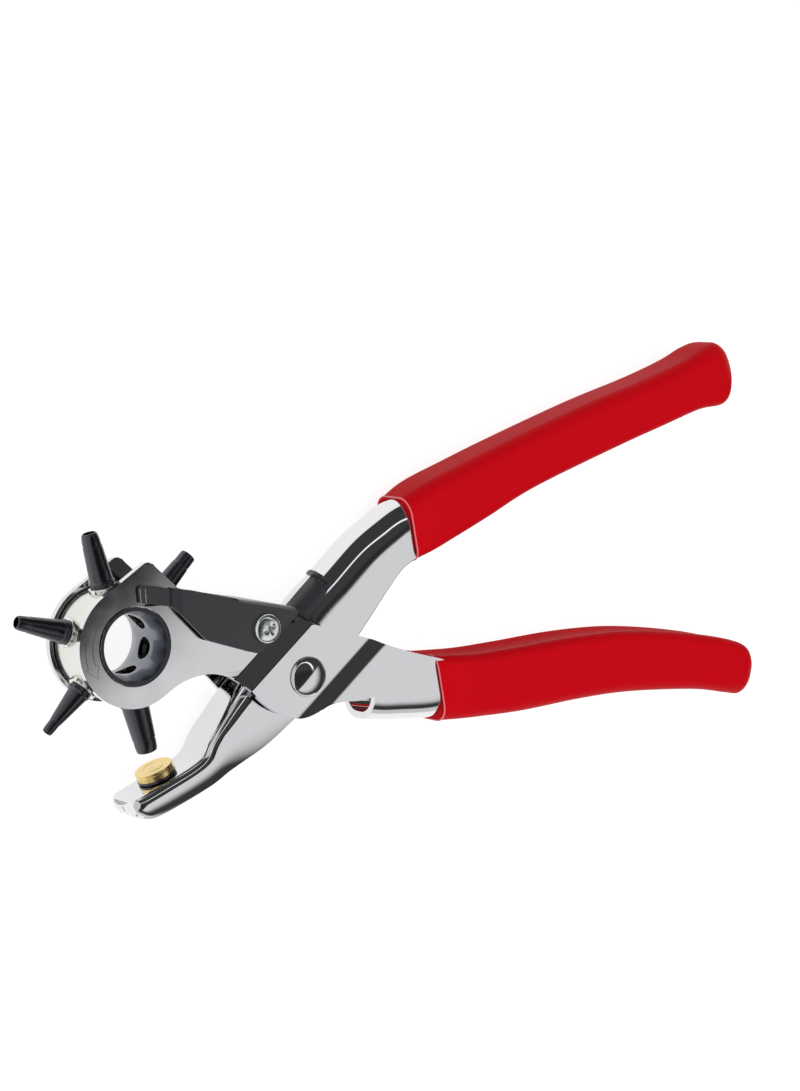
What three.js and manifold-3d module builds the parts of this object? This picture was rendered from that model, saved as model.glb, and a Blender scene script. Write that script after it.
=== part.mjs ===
// Rotary (revolving) hole punch for leather, lying on its side.
// Millimetres. The tool is drawn about its pivot rivet: X runs towards the handles,
// Y towards the upper handle, Z across the tool. The mid-plane of the tool is Z = 0.
// At the end the whole tool is moved so that its origin is the bottom centre of its box.

import * as THREE from 'three';
import { mergeVertices } from 'three/addons/utils/BufferGeometryUtils.js';
import Module from 'manifold-3d';

const wasm = await Module();
wasm.setup();

// ---------------------------------------------------------------- driving dimensions

const GAP = 0.3;                 // clearance between pieces that touch

const FRAME_SHEET = 1.8;         // punch frame: sheet thickness
const HEAD_OUTER = 8.75;         // half width over the two head plates
const PIVOT_OUTER = 10.45;       // half width over the joggled pivot plates
const CHANNEL_OUTER = 7.5;       // half width over the lower handle channel
const CHANNEL_BEND = 6.4;        // outer bend radius of the lower handle channel

const ARM_SHEET = 1.8;           // anvil arm: sheet thickness
const ARM_OUTER = 7.2;           // half width over the anvil arm
const ARM_BEND = 6.9;            // outer bend radius of the arm behind the head
const JAW_BEND = 2.2;            // tighter bend along the anvil jaw

const GRIP_OUTER = 9.1;          // half width of the dipped grips
const GRIP_CORNER = 4.6;

const TURRET = new THREE.Vector2(-48, 10.7);   // turret axis, from the pivot rivet
const DRUM_RADIUS = 14;
const DRUM_HALF = 6.4;
const BOSS_RADIUS = 9.6;         // bosses that turn in the head plates
const HUB_BORE = 7.4;            // through bore for the punched-out slugs
const TUBE_COUNT = 6;
const TUBE_SHANK = 2.6;          // threaded shank in the drum
const TUBE_COLLAR = 3.6;
const TUBE_PHASE = 46;           // degrees, first tube from +X
const TUBE_REACH = 28.5;         // turret axis to cutting edge
const TUBE_SIZES = [3.5, 3.0, 2.5, 2.0, 4.5, 4.0];   // hole sizes, counter-clockwise

const SCREW = new THREE.Vector2(-12.3, 13.0);  // bracket screw, from the pivot rivet
const SCREW_SHANK = 1.8;
const SCREW_HEAD = 3.7;
const RIVET_SHANK = 2.6;
const RIVET_HEAD = 5.1;
const BUSH_RADIUS = 3.9;
const HALF_THICKNESS = 12.1;     // flat far rivet head and nut: what the tool lies on

const BRACKET_SHEET = 1.1;
const LEAF_SHEET = 0.45;
const CHEEK_INNER = HEAD_OUTER + 2 * GAP + LEAF_SHEET;
const CHEEK_OUTER = CHEEK_INNER + BRACKET_SHEET;

const SEAT_ANGLE = 24;           // degrees, slope of the anvil seat from the X axis
const ANVIL = new THREE.Vector2(-38.6, -20.8); // centre of the anvil's face
const ANVIL_RADIUS = 4.9;
const ANVIL_HEIGHT = 2.0;
const ANVIL_STEM = 1.3;

const LATCH_PIN = new THREE.Vector2(4.2, 9.6);
const LATCH_SHEET = 0.85;
const LATCH_PIN_RADIUS = 1.3;
const LATCH_EYE = 2.7;           // radius of the latch round its pin
// Thumb tab seen along the arm: [depth from the web, Z].
const TAB_RIM = [[2.0, 6.6], [0.9, 6.9], [-0.6, 6.2], [-1.7, 4.4], [-2.0, 2.2],
  [-1.5, 0.6], [-0.6, 0.2], [-0.4, 1.6]];

// ---------------------------------------------------------------- geometry helpers

const v2 = (x, y) => new THREE.Vector2(x, y);
const polar = (centre, radius, degrees) => {
  const a = THREE.MathUtils.degToRad(degrees);
  return v2(centre.x + radius * Math.cos(a), centre.y + radius * Math.sin(a));
};

// A closed three.js geometry as a solid that can be joined and cut.
function solid(geometry) {
  const bare = geometry.index ? geometry.toNonIndexed() : geometry.clone();
  for (const name of Object.keys(bare.attributes)) {
    if (name !== 'position') bare.deleteAttribute(name);
  }
  const merged = mergeVertices(bare, 1e-4);
  return new wasm.Manifold(new wasm.Mesh({
    numProp: 3,
    vertProperties: new Float32Array(merged.attributes.position.array),
    triVerts: new Uint32Array(merged.index.array),
  }));
}

function geometryOf(manifold) {
  const mesh = manifold.getMesh();
  const geometry = new THREE.BufferGeometry();
  geometry.setAttribute('position', new THREE.BufferAttribute(mesh.vertProperties, 3));
  geometry.setIndex(new THREE.BufferAttribute(mesh.triVerts, 1));
  geometry.computeVertexNormals();
  return geometry;
}

// A flat outline stood up between two heights across the tool.
function prism(shape, low, high, curveSegments = 6) {
  const geometry = new THREE.ExtrudeGeometry(shape, {
    depth: high - low, bevelEnabled: false, curveSegments,
  });
  geometry.translate(0, 0, low);
  return geometry;
}

const prismSolid = (...args) => solid(prism(...args));

function polygon(points) {
  return new THREE.Shape(points.map(([x, y]) => v2(x, y)));
}

// A round bar or hole along Z.
function barZ(centre, radius, low, high, segments = 24) {
  const geometry = new THREE.CylinderGeometry(radius, radius, high - low, segments);
  geometry.rotateX(Math.PI / 2);
  geometry.translate(centre.x, centre.y, (low + high) / 2);
  return geometry;
}

// A turned piece about Z. The profile is [radius, height] and closes on itself.
function turnedZ(profile, centre, segments) {
  const points = profile.map(([r, h]) => v2(r, h));
  points.push(points[0].clone());
  const geometry = new THREE.LatheGeometry(points, segments);
  geometry.rotateX(Math.PI / 2);
  geometry.translate(centre.x, centre.y, 0);
  return outward(geometry);
}

// Turns the faces round if the body is inside out.
function outward(geometry) {
  const bare = geometry.index ? geometry.toNonIndexed() : geometry;
  const p = bare.attributes.position;
  const a = new THREE.Vector3();
  const b = new THREE.Vector3();
  const c = new THREE.Vector3();
  let volume = 0;
  for (let i = 0; i < p.count; i += 3) {
    a.fromBufferAttribute(p, i);
    b.fromBufferAttribute(p, i + 1);
    c.fromBufferAttribute(p, i + 2);
    volume += a.dot(b.cross(c));
  }
  if (volume >= 0) return bare;
  for (let i = 0; i < p.count; i += 3) {
    a.fromBufferAttribute(p, i + 1);
    b.fromBufferAttribute(p, i + 2);
    p.setXYZ(i + 1, b.x, b.y, b.z);
    p.setXYZ(i + 2, a.x, a.y, a.z);
  }
  return bare;
}

// A closed body through a row of rings with the same number of points.
// Each ring is { at, down, outline }: outline points are [depth along down, Z].
function loft(rings) {
  const count = rings[0].outline.length;
  const points = rings.map(({ at, down, outline }) => outline.map(
    ([depth, z]) => new THREE.Vector3(at.x + down.x * depth, at.y + down.y * depth, z)));
  const flat = [];
  const triangle = (p, q, r) => flat.push(p.x, p.y, p.z, q.x, q.y, q.z, r.x, r.y, r.z);
  for (let i = 0; i + 1 < rings.length; i++) {
    for (let j = 0; j < count; j++) {
      const k = (j + 1) % count;
      triangle(points[i][j], points[i][k], points[i + 1][k]);
      triangle(points[i][j], points[i + 1][k], points[i + 1][j]);
    }
  }
  for (const end of [0, rings.length - 1]) {
    const contour = rings[end].outline.map(([depth, z]) => v2(depth, z));
    const clockwise = THREE.ShapeUtils.isClockWise(contour);
    for (const face of THREE.ShapeUtils.triangulateShape(contour, [])) {
      const [p, q, r] = face.map((index) => points[end][index]);
      if (clockwise === (end === 0)) triangle(p, q, r);
      else triangle(p, r, q);
    }
  }
  const geometry = new THREE.BufferGeometry();
  geometry.setAttribute('position', new THREE.Float32BufferAttribute(flat, 3));
  return outward(geometry);
}

// Quarter turn points about (depth, z), from angle a to angle b in degrees.
function arcPoints(depth, z, radius, from, to, steps) {
  return Array.from({ length: steps + 1 }, (_, i) => {
    const a = THREE.MathUtils.degToRad(from + (to - from) * i / steps);
    return [depth - radius * Math.sin(a), z + radius * Math.cos(a)];
  });
}

// Section of a folded channel: web outside at depth 0, two flanges of the given depth.
function channelOutline(depth, halfWidth, bend, sheet, steps = 3) {
  const r = Math.min(bend, depth * 0.85);
  const inner = Math.max(r - sheet, 0.25);
  const c = halfWidth - r;
  const ci = halfWidth - sheet - inner;
  const di = sheet + inner;
  return [
    [depth, halfWidth],
    ...arcPoints(r, c, r, 0, 90, steps),
    ...arcPoints(r, -c, r, 90, 180, steps),
    [depth, -halfWidth],
    [depth, -halfWidth + sheet],
    ...arcPoints(Math.min(di, depth - 0.05), -ci, inner, 180, 90, steps),
    ...arcPoints(Math.min(di, depth - 0.05), ci, inner, 90, 0, steps),
    [depth, halfWidth - sheet],
  ];
}

// Section of a grip: a rounded box, with an optional dish along its open side.
function sleeveOutline(depth, halfWidth, backCorner, openCorner, dish = 0, steps = 3) {
  const b = Math.min(backCorner, depth * 0.48);
  const o = Math.min(openCorner, depth * 0.48);
  return [
    ...arcPoints(b, halfWidth - b, b, 0, 90, steps),
    ...arcPoints(b, -(halfWidth - b), b, 90, 180, steps),
    ...arcPoints(depth - o, -(halfWidth - o), o, 180, 270, steps),
    [depth - dish, -(halfWidth - o) * 0.45],
    [depth - dish, (halfWidth - o) * 0.45],
    ...arcPoints(depth - o, halfWidth - o, o, 270, 360, steps),
  ];
}

// Smooth stations between the hand-placed pairs of back point and open-edge point.
function stations(pairs, perSpan) {
  const back = new THREE.SplineCurve(pairs.map(([x, y]) => v2(x, y)));
  const edge = new THREE.SplineCurve(pairs.map(([, , x, y]) => v2(x, y)));
  const count = (pairs.length - 1) * perSpan;
  return Array.from({ length: count + 1 }, (_, i) => {
    const at = back.getPoint(i / count);
    const down = edge.getPoint(i / count).sub(at);
    const depth = down.length();
    return { at, down: down.normalize(), depth, x: at.x };
  });
}

const ring = (station, outline) => ({ at: station.at, down: station.down, outline });
const blend = (a, b, t) => a + (b - a) * THREE.MathUtils.clamp(t, 0, 1);

// ---------------------------------------------------------------- materials

const paint = (color, roughness, metalness) => new THREE.MeshStandardMaterial({
  color, roughness, metalness,
});
const chrome = paint(0xc4c5c8, 0.12, 1);
const zinc = paint(0xd5dadb, 0.3, 1);
const steel = paint(0xa9aaac, 0.35, 1);
const blackSteel = paint(0x2b2c2f, 0.35, 0.7);
const blackPaint = paint(0x38363a, 0.45, 0.2);
const redGrip = paint(0xc4060d, 0.3, 0);
const brass = paint(0xe0cb7c, 0.25, 1);
const springSteel = paint(0x6f7072, 0.35, 1);

const parts = [];
function add(name, material, geometry) {
  const mesh = new THREE.Mesh(geometry, material);
  mesh.name = name;
  parts.push(mesh);
}

// ---------------------------------------------------------------- punch frame

// Side outline of the two plates: head round the turret, neck, pivot, start of the handle.
function plateShape() {
  const shape = new THREE.Shape();
  const apex = v2(-44.4, 28.7);
  const headRadius = 15.2;
  shape.moveTo(-31.9, 22.0);
  shape.lineTo(-36.1, 24.3);
  shape.lineTo(-42.3, 29.8);
  shape.absarc(apex.x, apex.y, 2.3, 0.5, 2.2, false);
  const shoulder = polar(TURRET, headRadius, 124);
  shape.lineTo(shoulder.x, shoulder.y);
  shape.absarc(TURRET.x, TURRET.y, headRadius,
    THREE.MathUtils.degToRad(124), THREE.MathUtils.degToRad(286), false);
  shape.splineThru([v2(-41.0, -2.6), v2(-35.7, 0.7), v2(-30.6, 2.2), v2(-26.2, 2.4),
    v2(-21.6, 1.1), v2(-17.3, -1.6), v2(-12.8, -5.9), v2(-8.2, -8.8), v2(-3.5, -10.3),
    v2(0.6, -10.5), v2(4.5, -9.7), v2(8.6, -8.2), v2(12.6, -7.7), v2(17.2, -7.8),
    v2(22.4, -7.2)]);
  shape.lineTo(30, -8.0);
  shape.lineTo(30, 4.6);
  shape.lineTo(20.4, 7.8);
  shape.lineTo(2.4, 12.9);
  shape.lineTo(-2.4, 15.1);
  shape.lineTo(-13.0, 17.6);
  shape.lineTo(-20.0, 18.9);
  return shape;
}

// The sheet seen along its two joggles: head level, pivot level, handle level.
const JOGGLE = THREE.MathUtils.degToRad(41.5);
const JOGGLE_LINES = [-14.0, -8.8, 5.6, 12.0];   // across the joggles, from the pivot
function joggledSheet() {
  const [a, b, c, d] = JOGGLE_LINES;
  const reach = 90;
  const top = [[-reach, HEAD_OUTER], [a, HEAD_OUTER], [b, PIVOT_OUTER],
    [c, PIVOT_OUTER], [d, CHANNEL_OUTER], [reach, CHANNEL_OUTER]];
  const under = top.map(([s, z]) => [s, z - FRAME_SHEET]).reverse();
  const geometry = new THREE.ExtrudeGeometry(polygon([...top, ...under]), {
    depth: 2 * reach, bevelEnabled: false,
  });
  geometry.translate(0, 0, -reach);
  const across = new THREE.Vector3(Math.sin(JOGGLE), -Math.cos(JOGGLE), 0);
  const along = new THREE.Vector3(Math.cos(JOGGLE), Math.sin(JOGGLE), 0);
  geometry.applyMatrix4(new THREE.Matrix4().makeBasis(
    across, new THREE.Vector3(0, 0, 1), along.negate()));
  return solid(outward(geometry));
}

// Lower handle channel: [web x, y, open edge x, y], front to rear.
const LOWER_HANDLE = [
  [21.8, -13.6, 22.2, 1.8], [26.0, -14.2, 26.4, 3.4], [31.0, -14.5, 31.2, 4.2],
  [41.0, -14.8, 40.8, 1.6], [50.0, -13.7, 50.0, -0.4], [70.0, -13.0, 69.0, 0.4],
  [88.0, -11.5, 86.5, 1.9], [103.0, -10.8, 103.4, 2.2], [118.0, -11.2, 119.0, 0.9],
  [134.0, -12.6, 135.6, -2.8],
];
const SLOT = { x: -43.2, y: 22.6, w: 4.4, h: 4.6 };

function punchFrame() {
  const sheet = joggledSheet();
  const near = prismSolid(plateShape(), 0, 20, 3).intersect(sheet);
  const far = near.mirror([0, 0, 1]);
  const channel = solid(loft(stations(LOWER_HANDLE, 2).map((s) => ring(
    s, channelOutline(s.depth, CHANNEL_OUTER, CHANNEL_BEND, FRAME_SHEET)))));
  const slot = prismSolid(polygon([
    [SLOT.x - SLOT.w / 2, SLOT.y - SLOT.h / 2], [SLOT.x + SLOT.w / 2, SLOT.y - SLOT.h / 2],
    [SLOT.x + SLOT.w / 2, SLOT.y + SLOT.h / 2], [SLOT.x - SLOT.w / 2, SLOT.y + SLOT.h / 2],
  ]), 5, 12);
  const through = (centre, radius, n) => solid(barZ(centre, radius, -15, 15, n));
  return near.add(far).add(channel)
    .subtract(through(TURRET, BOSS_RADIUS + GAP, 48))
    .subtract(through(v2(0, 0), RIVET_SHANK + GAP, 20))
    .subtract(through(SCREW, SCREW_SHANK + GAP, 16))
    .subtract(slot);
}

// ---------------------------------------------------------------- anvil arm

// [web x, y, flange edge x, y] from the nose of the anvil jaw to the end of the handle.
const ARM = [
  [-49.0, -29.4, -47.4, -31.2], [-47.6, -27.9, -45.0, -31.7], [-44.8, -26.7, -41.2, -31.3],
  [-38.6, -24.0, -34.6, -29.0], [-31.0, -20.6, -25.6, -25.2], [-27.5, -18.2, -20.6, -22.4],
  [-25.6, -14.6, -16.8, -20.6], [-21.6, -9.0, -9.4, -17.0], [-17.2, -3.1, -1.4, -11.0],
  [-8.6, 7.2, 5.3, -5.4], [0.6, 18.2, 14.4, 5.4], [9.5, 26.3, 21.4, 13.9],
  [17.6, 33.7, 26.8, 20.6], [24.4, 38.4, 31.0, 25.2], [31.3, 42.3, 35.6, 27.9],
  [40.6, 45.2, 42.6, 32.4], [52.0, 49.5, 55.6, 38.4], [65.2, 54.6, 71.4, 46.0],
  [91.4, 63.9, 96.6, 55.6], [118.2, 73.0, 122.4, 64.8], [129.6, 77.2, 133.2, 69.2],
];
const BEND_OPENS = [-24, -6];    // along X, where the jaw bend opens to the handle bend

function anvilArm() {
  const body = solid(loft(stations(ARM, 2).map((s) => {
    const open = (s.x - BEND_OPENS[0]) / (BEND_OPENS[1] - BEND_OPENS[0]);
    const bend = blend(JAW_BEND, ARM_BEND, open);
    return ring(s, channelOutline(s.depth, ARM_OUTER, bend, ARM_SHEET));
  })));
  const stemHole = seatFrame(new THREE.CylinderGeometry(ANVIL_STEM + GAP, ANVIL_STEM + GAP, 12, 16), -6);
  return body
    .subtract(solid(barZ(v2(0, 0), BUSH_RADIUS + GAP, -15, 15, 24)))
    .subtract(solid(barZ(LATCH_PIN, LATCH_PIN_RADIUS + GAP, 0, 15, 16)))
    .subtract(solid(stemHole));
}

// Stands a piece turned about Y on the anvil seat, its centre at the given height
// above the anvil's face.
function seatFrame(geometry, height) {
  const slope = THREE.MathUtils.degToRad(SEAT_ANGLE);
  geometry.translate(0, height, 0);
  geometry.rotateZ(slope);
  geometry.translate(ANVIL.x, ANVIL.y, 0);
  return geometry;
}

function turnedOnSeat(profile, segments) {
  const points = profile.map(([r, h]) => v2(r, h));
  return seatFrame(outward(new THREE.LatheGeometry(points, segments)), 0);
}

// Brass anvil with its stem through the jaw, and the thin black washer under it.
const WASHER_HEIGHT = 0.5;
function anvil() {
  const foot = -ANVIL_HEIGHT;
  return turnedOnSeat([
    [0, foot - 4.2], [ANVIL_STEM, foot - 4.2], [ANVIL_STEM, foot], [ANVIL_RADIUS, foot],
    [ANVIL_RADIUS, -0.7], [ANVIL_RADIUS - 0.18, -0.6], [ANVIL_RADIUS, -0.5],
    [ANVIL_RADIUS - 0.2, 0], [0, 0],
  ], 26);
}

function anvilWasher() {
  const top = -ANVIL_HEIGHT - 0.1;
  const low = top - WASHER_HEIGHT;
  return turnedOnSeat([
    [ANVIL_STEM + GAP, low], [ANVIL_RADIUS, low], [ANVIL_RADIUS, top],
    [ANVIL_STEM + GAP, top], [ANVIL_STEM + GAP, low],
  ], 26);
}

// ---------------------------------------------------------------- grips

const LOWER_GRIP = [
  [44.0, -15.6, 40.6, 2.0], [56.0, -15.4, 54.6, 1.7], [70.4, -14.9, 69.0, 2.6],
  [87.9, -13.3, 86.4, 4.0], [102.0, -12.6, 103.6, 4.3], [115.4, -12.9, 119.0, 3.0],
  [130.0, -13.9, 134.4, 0.6], [140.0, -15.6, 143.6, -1.9], [145.4, -16.2, 147.6, -5.2],
  [149.0, -14.0, 150.2, -9.4],
];
const UPPER_GRIP = [
  [32.4, 42.6, 35.2, 27.2], [40.4, 46.8, 43.6, 31.0], [51.4, 51.1, 57.0, 37.4],
  [64.6, 56.1, 72.0, 44.8], [91.0, 65.4, 98.0, 54.5], [111.0, 71.8, 115.6, 60.6],
  [124.0, 76.9, 127.0, 64.6], [131.0, 80.4, 135.4, 66.2], [135.6, 81.6, 139.6, 70.0],
  [139.4, 80.0, 141.4, 75.4],
];

// The grip narrows to a rounded end; the cavity is the handle channel's own outline.
function grip(outer, handle, corner, dish) {
  const shell = solid(loft(stations(outer, 2).map((s, i, all) => {
    const end = THREE.MathUtils.clamp((i - (all.length - 6)) / 5, 0, 1);
    const half = GRIP_OUTER * Math.sqrt(1 - 0.72 * end * end);
    return ring(s, sleeveOutline(s.depth, half, corner, 3.0, dish * (1 - end)));
  })));
  const cavity = solid(loft(handle.map((s) => {
    const grown = { at: s.at.clone().addScaledVector(s.down, -GAP), down: s.down };
    return ring(grown, sleeveOutline(s.depth + 2 * GAP, CHANNEL_OUTER + GAP, 3.8, 0.8));
  })));
  return shell.subtract(cavity);
}

// ---------------------------------------------------------------- pivot

function pivotRivet() {
  const top = PIVOT_OUTER + GAP;
  const crown = HALF_THICKNESS + 0.1;
  const profile = [[0, -HALF_THICKNESS], [RIVET_HEAD - 0.4, -HALF_THICKNESS],
    [RIVET_HEAD, -HALF_THICKNESS + 0.4], [RIVET_HEAD, -top], [RIVET_SHANK, -top],
    [RIVET_SHANK, top], [RIVET_HEAD, top]];
  const steps = 3;
  for (let i = 1; i <= steps; i++) {
    const a = (Math.PI / 2) * i / steps;
    profile.push([RIVET_HEAD * Math.cos(a), top + (crown - top) * Math.sin(a)]);
  }
  profile[profile.length - 1][0] = 0;
  const geometry = new THREE.LatheGeometry(profile.map(([r, h]) => v2(r, h)), 24);
  geometry.rotateX(Math.PI / 2);
  return outward(geometry);
}

// A plain ring about Z.
const ringZ = (centre, inner, outer, low, high, segments = 24) => turnedZ(
  [[inner, low], [outer, low], [outer, high], [inner, high]], centre, segments);

// Torsion spring that opens the tool: three turns round the bush and two legs.
const SPRING_RADIUS = 5.6;
const SPRING_WIRE = 0.65;
function returnSpring() {
  const turns = 3;
  const stepsPerTurn = 14;
  const rise = 4.6;
  const legAngle = THREE.MathUtils.degToRad(142);
  const points = [];
  const coil = (t) => {
    const a = legAngle + 2 * Math.PI * (turns - 0.1) * t;
    return new THREE.Vector3(SPRING_RADIUS * Math.cos(a), SPRING_RADIUS * Math.sin(a),
      rise * (t - 0.5));
  };
  const first = coil(0);
  points.push(first.clone().add(new THREE.Vector3(8.2, 9.6, 0)));
  points.push(first.clone().add(new THREE.Vector3(2.0, 2.4, 0)));
  const count = Math.round(turns * stepsPerTurn);
  for (let i = 0; i <= count; i++) points.push(coil(i / count));
  const last = coil(1);
  points.push(new THREE.Vector3(last.x + 4, last.y + 0.6, last.z));
  points.push(new THREE.Vector3(last.x + 13, last.y - 3.2, last.z));
  const path = new THREE.CatmullRomCurve3(points, false, 'centripetal');
  const wire = new THREE.Shape();
  wire.absarc(0, 0, SPRING_WIRE, 0, 2 * Math.PI, false);
  return outward(new THREE.ExtrudeGeometry(wire, {
    steps: 56, bevelEnabled: false, extrudePath: path, curveSegments: 3,
  }));
}

// ---------------------------------------------------------------- turret and punch tubes

// Stands a piece turned about Y (heights from the turret axis) along one radial direction.
function radial(geometry, degrees) {
  geometry.rotateZ(THREE.MathUtils.degToRad(degrees - 90));
  geometry.translate(TURRET.x, TURRET.y, 0);
  return geometry;
}

function turretDrum() {
  const end = HEAD_OUTER + 0.25;
  const body = solid(turnedZ([
    [HUB_BORE, -4.6], [8.7, -end], [BOSS_RADIUS - 0.3, -end], [BOSS_RADIUS, -end + 0.3],
    [BOSS_RADIUS, -DRUM_HALF], [DRUM_RADIUS - 0.6, -DRUM_HALF],
    [DRUM_RADIUS, -DRUM_HALF + 0.6], [DRUM_RADIUS, DRUM_HALF - 0.6],
    [DRUM_RADIUS - 0.6, DRUM_HALF], [BOSS_RADIUS, DRUM_HALF], [BOSS_RADIUS, end - 0.3],
    [BOSS_RADIUS - 0.3, end], [8.7, end], [HUB_BORE, 4.6],
  ], TURRET, 40));
  const holes = [];
  for (let i = 0; i < TUBE_COUNT; i++) {
    const hole = new THREE.CylinderGeometry(TUBE_SHANK + GAP, TUBE_SHANK + GAP, 12, 14);
    hole.translate(0, 11, 0);
    holes.push(solid(radial(hole, TUBE_PHASE + 360 * i / TUBE_COUNT)));
  }
  return holes.reduce((drum, hole) => drum.subtract(hole), body);
}

// Screwed-in punch tube: shank, collar, tapering body and a bevelled cutting edge.
function punchTube(size, degrees) {
  const cut = size / 2;
  const edge = cut + 0.22;
  const shoulder = 1.35 + size * 0.31;
  const seat = DRUM_RADIUS + GAP;
  const profile = [
    [2.0, 9.0], [TUBE_SHANK, 9.0], [TUBE_SHANK, seat], [TUBE_COLLAR, seat],
    [TUBE_COLLAR, seat + 1.7], [TUBE_COLLAR - 0.3, seat + 2.1],
    [shoulder, TUBE_REACH - 2.4], [edge, TUBE_REACH - 0.15],
    [edge - 0.12, TUBE_REACH], [cut, TUBE_REACH], [cut, TUBE_REACH - 4], [2.0, 18],
  ];
  const points = profile.map(([r, h]) => v2(r, h));
  if (cut > 2.0) points[points.length - 1].x = cut;
  points.push(points[0].clone());
  return radial(outward(new THREE.LatheGeometry(points, 14)), degrees);
}

// ---------------------------------------------------------------- index bracket and screw

// Cheek of the bracket: from the screw end down to the tongue beside the turret.
function cheekShape() {
  const shape = new THREE.Shape();
  shape.moveTo(-38.6, 24.5);
  shape.lineTo(-38.6, 20.2);
  shape.lineTo(-29.7, 11.6);
  shape.quadraticCurveTo(-28.6, 10.9, -27.2, 10.6);
  shape.lineTo(-15.2, 7.0);
  shape.lineTo(-13.1, 7.7);
  shape.lineTo(-3.3, 15.8);
  shape.lineTo(-3.0, 16.8);
  shape.lineTo(-19.6, 20.0);
  shape.lineTo(-24.0, 21.6);
  shape.lineTo(-33.6, 23.8);
  return shape;
}

// The web joins the cheeks over the top edge of the neck, behind the sweep of the tubes.
function indexBracket() {
  const near = prismSolid(cheekShape(), CHEEK_INNER, CHEEK_OUTER);
  const far = prismSolid(cheekShape(), -CHEEK_OUTER, -CHEEK_INNER);
  const bend = 2.1;
  const section = channelOutline(3.4, CHEEK_OUTER, bend, BRACKET_SHEET);
  const web = solid(loft([[-19.6, 20.7], [-13, 19.6], [-7.5, 18.6], [-3.0, 17.6]].map(
    ([x, y]) => ({ at: v2(x, y), down: v2(0, -1), outline: section }))));
  return near.add(far).add(web)
    .subtract(solid(barZ(SCREW, SCREW_SHANK + GAP, -15, 15, 16)));
}

// Spring leaf beside the turret; its nose dips through the slot of the near plate.
const LEAF_LOW = HEAD_OUTER + GAP;
function indexSpring() {
  const leaf = new THREE.Shape();
  leaf.moveTo(-35.2, 20.6);
  leaf.lineTo(-35.2, 23.2);
  leaf.lineTo(-41.0, 24.9);
  leaf.lineTo(-46.6, 25.6);
  leaf.quadraticCurveTo(-47.6, 25.4, -47.6, 24.4);
  leaf.lineTo(-47.2, 21.4);
  leaf.lineTo(-39.0, 20.0);
  const nose = polygon([
    [SLOT.x - SLOT.w / 2 + 0.6, SLOT.y - 1.7], [SLOT.x + SLOT.w / 2 - 0.6, SLOT.y - 1.7],
    [SLOT.x + SLOT.w / 2 - 0.6, SLOT.y + 1.7], [SLOT.x - SLOT.w / 2 + 0.6, SLOT.y + 1.7],
  ]);
  return prismSolid(leaf, LEAF_LOW, LEAF_LOW + LEAF_SHEET)
    .add(prismSolid(nose, DRUM_HALF + GAP + 0.1, LEAF_LOW + LEAF_SHEET / 2));
}

// Pan-head screw with a cross recess.
function bracketScrew() {
  const seat = CHEEK_OUTER + 0.2;
  const top = HALF_THICKNESS + 0.35;
  const tail = -(HALF_THICKNESS - 0.5);
  const profile = [[0, tail], [SCREW_SHANK, tail], [SCREW_SHANK, seat],
    [SCREW_HEAD, seat], [SCREW_HEAD, top - 0.7],
    [3.1, top - 0.15], [2.2, top], [0, top]];
  const geometry = new THREE.LatheGeometry(profile.map(([r, h]) => v2(r, h)), 24);
  geometry.rotateX(Math.PI / 2);
  geometry.translate(SCREW.x, SCREW.y, 0);
  let body = solid(outward(geometry));
  for (const turn of [35, 125]) {
    const bar = new THREE.BoxGeometry(4.2, 0.9, 2);
    bar.rotateZ(THREE.MathUtils.degToRad(turn));
    bar.translate(SCREW.x, SCREW.y, top + 0.1);
    body = body.subtract(solid(bar));
  }
  return body;
}

function bracketNut() {
  const nut = new THREE.CylinderGeometry(SCREW_HEAD, SCREW_HEAD, 1, 6);
  const low = -HALF_THICKNESS;
  const high = -CHEEK_OUTER - 0.2;
  nut.scale(1, high - low, 1);
  nut.rotateX(Math.PI / 2);
  nut.translate(SCREW.x, SCREW.y, (low + high) / 2);
  return solid(nut).subtract(solid(barZ(SCREW, SCREW_SHANK + GAP, -20, 0, 16)));
}

// ---------------------------------------------------------------- handle latch

// Strap lying round the arm's bend. Its foot passes under the pivot plate to the pin,
// and its rear end is folded up as a thumb tab.
const STRAP = {
  start: v2(1.75, 19.5), along: v2(0.74, 0.673), down: v2(0.673, -0.74),
  foot: -4.0, rear: 7.4, footAngles: [13, 74], rearAngles: [32, 76],
};

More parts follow.
